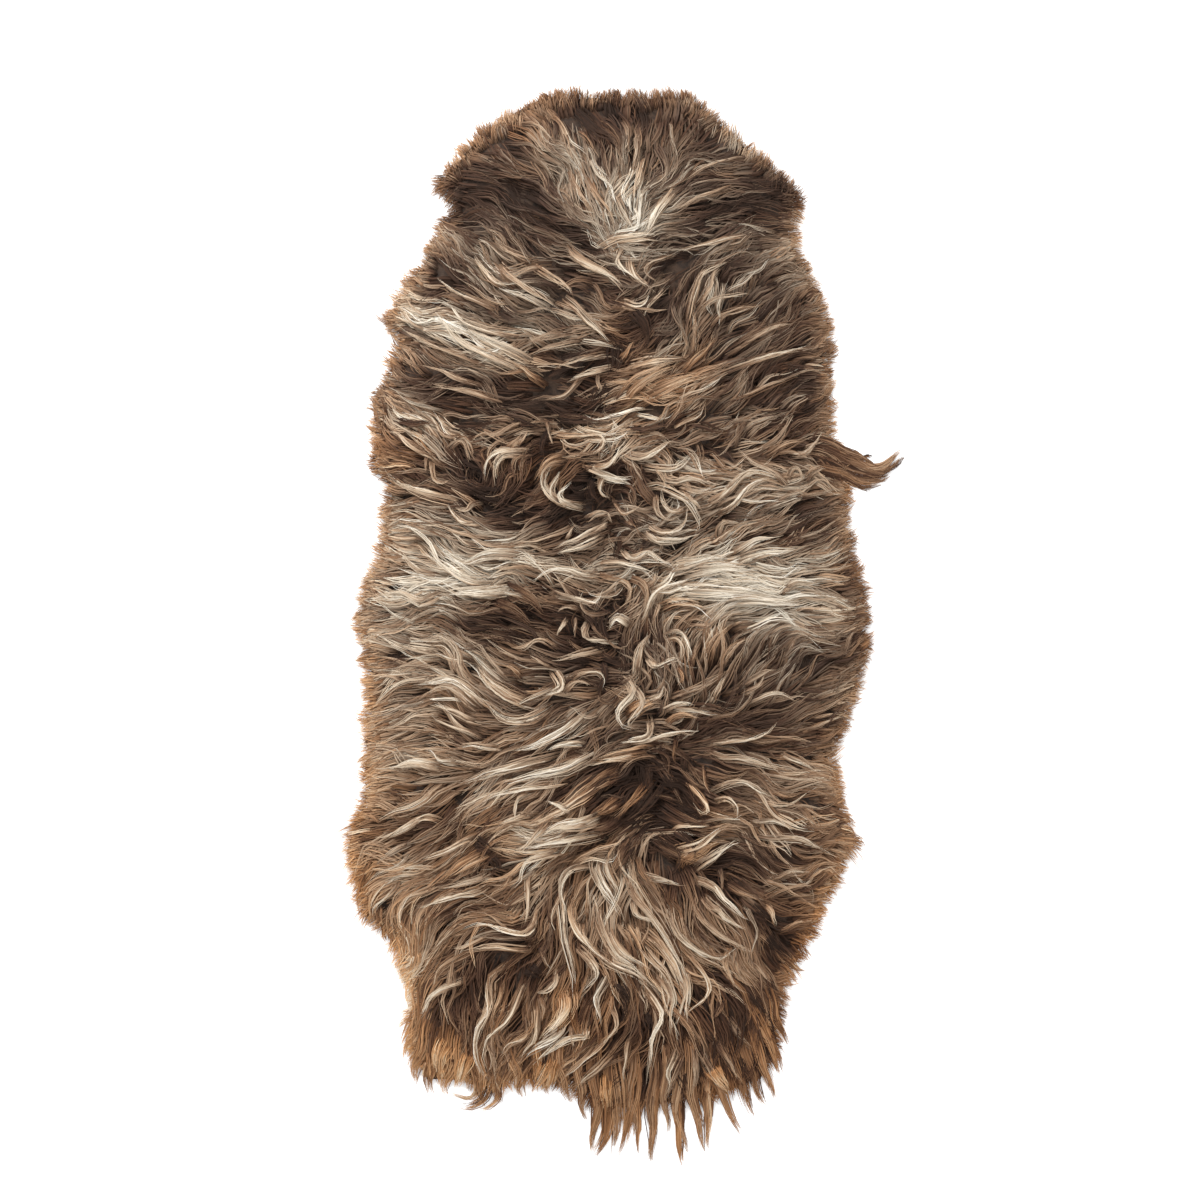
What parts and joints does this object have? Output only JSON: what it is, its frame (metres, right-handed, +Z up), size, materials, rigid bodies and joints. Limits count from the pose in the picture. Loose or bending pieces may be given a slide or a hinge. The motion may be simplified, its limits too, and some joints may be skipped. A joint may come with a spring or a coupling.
{
  "type": "icelandic sheepskin",
  "caption": "Longhaired sheepskin rug lying wool side up: tanned hide in the animal's outline under a shaggy two-tone brown fleece with rim locks, hind fringe and one stray tuft",
  "frame": {"origin": "on the surface the skin lies on, under the middle of its bounding box", "axes": "+Z up out of the wool, +Y towards the neck end, +X to the right seen from above with the neck away from the viewer"},
  "size_m": [0.6844, 1.3037, 0.0499],
  "materials": {
    "tanned_skin": "undyed tanned skin, matt suede with a fine grain and faint darker veins",
    "wool": "matt long wool, dark brown at the root and cream at the tip, with orange-brown short wool at the rim"
  },
  "bodies": {
    "root": {"hide": "tanned_skin", "fleece": "wool"}
  },
  "joints": []
}
